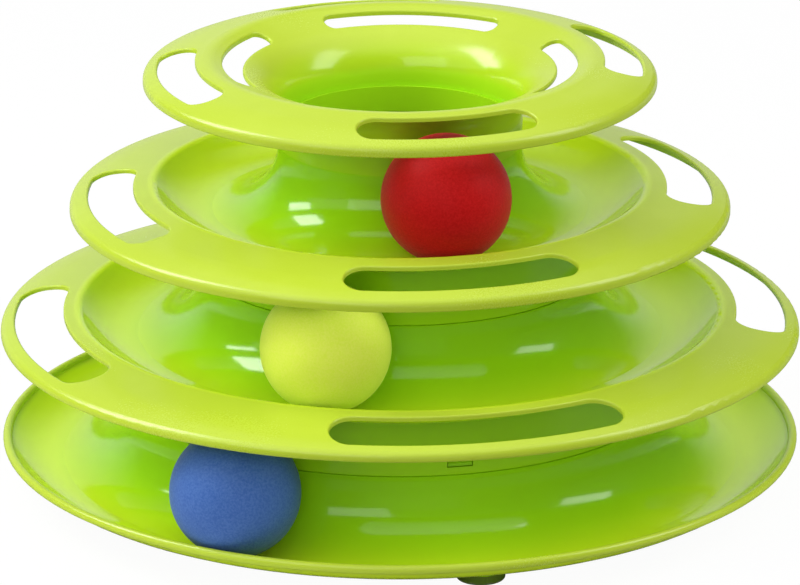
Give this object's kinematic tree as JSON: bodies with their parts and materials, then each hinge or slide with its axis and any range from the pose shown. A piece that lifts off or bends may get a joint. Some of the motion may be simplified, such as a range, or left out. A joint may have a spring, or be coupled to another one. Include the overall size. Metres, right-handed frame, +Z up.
{
  "type": "cat ball track toy",
  "caption": "Tiered tower of round open tracks under slotted drooping rings, each track holding a captive ball that a cat bats round the tower.",
  "frame": {"origin": "on the ground under the tower's axis, at the bottom of the feet", "axes": "+Z up the tower's axis; the ring slots are centred on X and Y, and -Y is the front"},
  "size_m": [0.2502, 0.2502, 0.136],
  "materials": {
    "tower_plastic": "glossy moulded lime green",
    "lower_ball_plastic": "fine matte grain, blue",
    "middle_ball_plastic": "fine matte grain, yellow-green",
    "upper_ball_plastic": "fine matte grain, red",
    "foot_rubber": "soft matte green"
  },
  "bodies": {
    "tower": {"base_tray": "tower_plastic", "middle_tier": "tower_plastic", "upper_tier": "tower_plastic", "top_cap": "tower_plastic", "foot_front": "foot_rubber", "foot_right": "foot_rubber", "foot_back": "foot_rubber", "foot_left": "foot_rubber"},
    "lower_ball": {"lower_ball": "lower_ball_plastic"},
    "middle_ball": {"middle_ball": "middle_ball_plastic"},
    "upper_ball": {"upper_ball": "upper_ball_plastic"}
  },
  "joints": [
    {"name": "lower_ball_run", "type": "hinge", "parent": "tower", "child": "lower_ball", "pos_m": [0, 0, 0], "axis": [0, 0, 1], "continuous": true},
    {"name": "middle_ball_run", "type": "hinge", "parent": "tower", "child": "middle_ball", "pos_m": [0, 0, 0], "axis": [0, 0, 1], "continuous": true},
    {"name": "upper_ball_run", "type": "hinge", "parent": "tower", "child": "upper_ball", "pos_m": [0, 0, 0], "axis": [0, 0, 1], "continuous": true}
  ]
}
